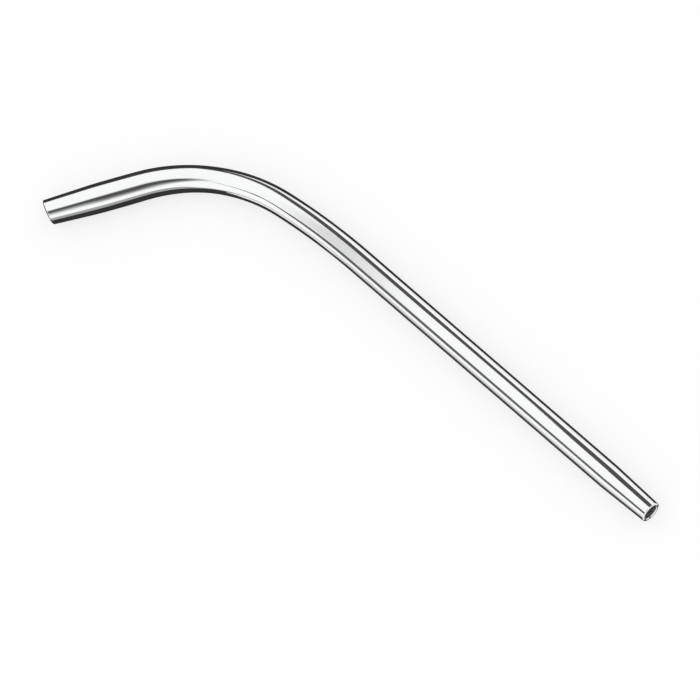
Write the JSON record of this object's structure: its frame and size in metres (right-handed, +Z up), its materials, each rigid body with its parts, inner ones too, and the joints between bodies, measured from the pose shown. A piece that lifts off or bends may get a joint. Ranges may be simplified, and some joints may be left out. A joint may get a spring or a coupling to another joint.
{
  "type": "saliva ejector tip",
  "caption": "Bent polished metal suction tube with a swollen, slant-cut working tip at one end and a tapered hose end at the other.",
  "frame": {"origin": "on the shaft's axis, where the lead-in taper of the hose end starts", "axes": "+X along the shaft, out of the hose end; the bend lies flat in the XY plane and the tip turns towards -Y; +Z up"},
  "size_m": [0.1685, 0.0442, 0.0072],
  "materials": {
    "polished_steel": "mirror polished stainless steel"
  },
  "bodies": {
    "root": {"hose_end": "polished_steel", "shaft": "polished_steel", "run_out": "polished_steel", "bend": "polished_steel", "swell": "polished_steel", "tip": "polished_steel"}
  },
  "joints": []
}
